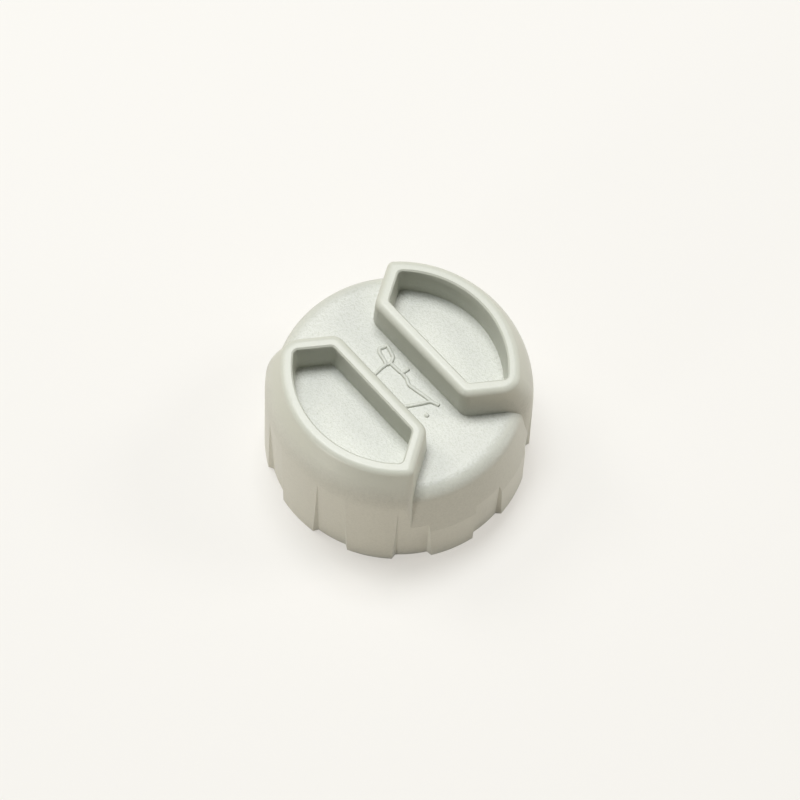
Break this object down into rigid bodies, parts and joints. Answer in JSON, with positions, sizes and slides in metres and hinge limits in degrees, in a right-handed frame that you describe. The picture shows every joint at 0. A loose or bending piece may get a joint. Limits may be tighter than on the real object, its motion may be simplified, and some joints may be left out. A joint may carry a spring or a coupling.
{
  "type": "oil tank cap",
  "caption": "Moulded screw cap for an oil tank: ribbed skirt, low domed top, two hollow finger grips with a channel between them, and a rubber sealing ring inside.",
  "frame": {"origin": "centre of the open rim that the cap stands on, where it also comes down over the neck", "axes": "+Z out through the top of the cap along the screw axis, X along the channel between the two grips"},
  "size_m": [0.0456, 0.046, 0.027],
  "materials": {
    "cap_plastic": "matt moulded plastic with a fine spark-eroded grain",
    "seal_rubber": "plain moulded rubber"
  },
  "bodies": {
    "root": {"cap_body": "cap_plastic", "sealing_ring": "seal_rubber"}
  },
  "joints": []
}
